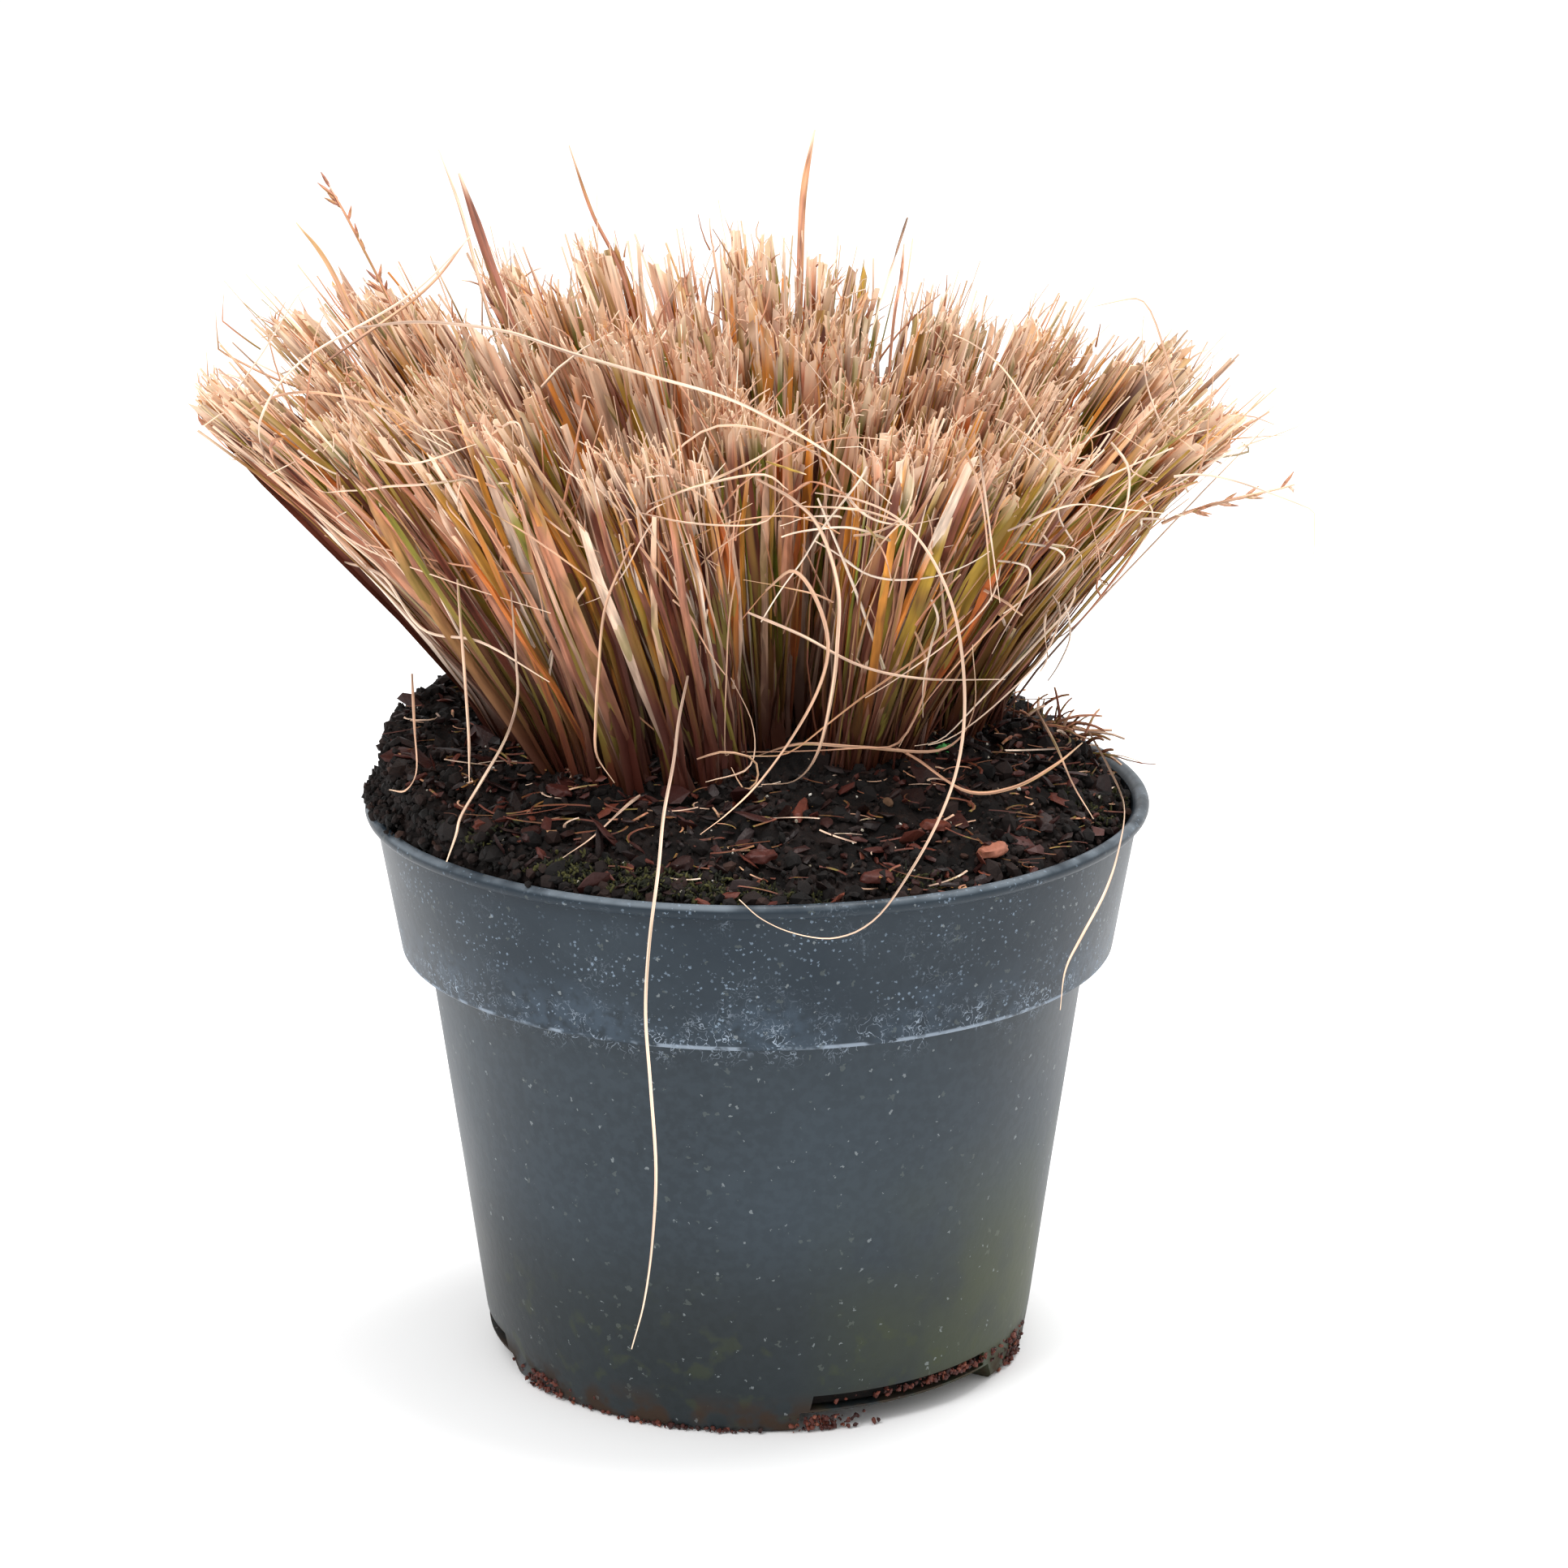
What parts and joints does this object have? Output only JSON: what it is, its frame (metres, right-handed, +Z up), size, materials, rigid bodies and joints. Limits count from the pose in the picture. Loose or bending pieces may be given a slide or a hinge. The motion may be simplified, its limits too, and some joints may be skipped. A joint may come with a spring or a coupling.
{
  "type": "potted ornamental grass clump",
  "caption": "Clump of dry bronze ornamental grass, clipped short, growing in a round plastic nursery pot of bark mix, with loose dead blades trailing over the rim.",
  "frame": {"origin": "on the pot's axis, in the plane that its feet stand on", "axes": "+Z up along the pot's axis; +X to the clump's right, where the seed stem leans out; -Y to its front, where one blade hangs down the pot"},
  "size_m": [0.2613, 0.2119, 0.2857],
  "materials": {
    "pot_plastic": "dark slate grey moulded plastic, satin, with scuffs, lime specks and a green bloom near the foot",
    "potting_mix": "moist dark peat and bark crumbs, matt",
    "grass_blades": "dry fibrous blades, salmon tan with ochre and olive ones, red-brown at the root and bleached at the cut",
    "loose_blades": "bleached dry dead blade, matt",
    "bark_chips": "damp split bark, dark red-brown to orange, matt"
  },
  "bodies": {
    "root": {"bark_chip_01": "bark_chips", "bark_chip_02": "bark_chips", "bark_chip_03": "bark_chips", "bark_chip_04": "bark_chips", "bark_chip_05": "bark_chips", "bark_chip_06": "bark_chips", "bark_chip_07": "bark_chips", "bark_chip_08": "bark_chips", "bark_chip_09": "bark_chips", "bark_chip_10": "bark_chips", "blade_across_top": "loose_blades", "blade_at_left_shoulder": "loose_blades", "blade_crossing_in_middle": "loose_blades", "blade_hanging_at_front": "loose_blades", "blade_looped_at_left": "loose_blades", "blade_looped_at_right": "loose_blades", "blade_looped_in_middle": "loose_blades", "blade_on_mix_at_front": "loose_blades", "blade_on_mix_at_right": "loose_blades", "blade_over_left_rim": "loose_blades", "blade_over_right_rim": "loose_blades", "blade_short_at_right": "loose_blades", "blade_straight_at_left": "loose_blades", "dead_seed_stem_left": "loose_blades", "pot": "pot_plastic", "potting_mix": "potting_mix", "seed_stem_right": "loose_blades", "tall_stem_back": "loose_blades", "tall_stem_back_left": "loose_blades", "tall_stem_far_left": "loose_blades", "tall_stem_left": "loose_blades", "tall_stem_left_thick": "loose_blades", "tall_stem_right": "loose_blades", "tuft_inner_01": "grass_blades", "tuft_inner_02": "grass_blades", "tuft_inner_03": "grass_blades", "tuft_inner_04": "grass_blades", "tuft_inner_05": "grass_blades", "tuft_outer_01": "grass_blades", "tuft_outer_02": "grass_blades", "tuft_outer_03": "grass_blades", "tuft_outer_04": "grass_blades", "tuft_outer_05": "grass_blades", "tuft_outer_06": "grass_blades", "tuft_outer_07": "grass_blades", "tuft_outer_08": "grass_blades", "tuft_outer_09": "grass_blades", "tuft_outer_10": "grass_blades"}
  },
  "joints": []
}
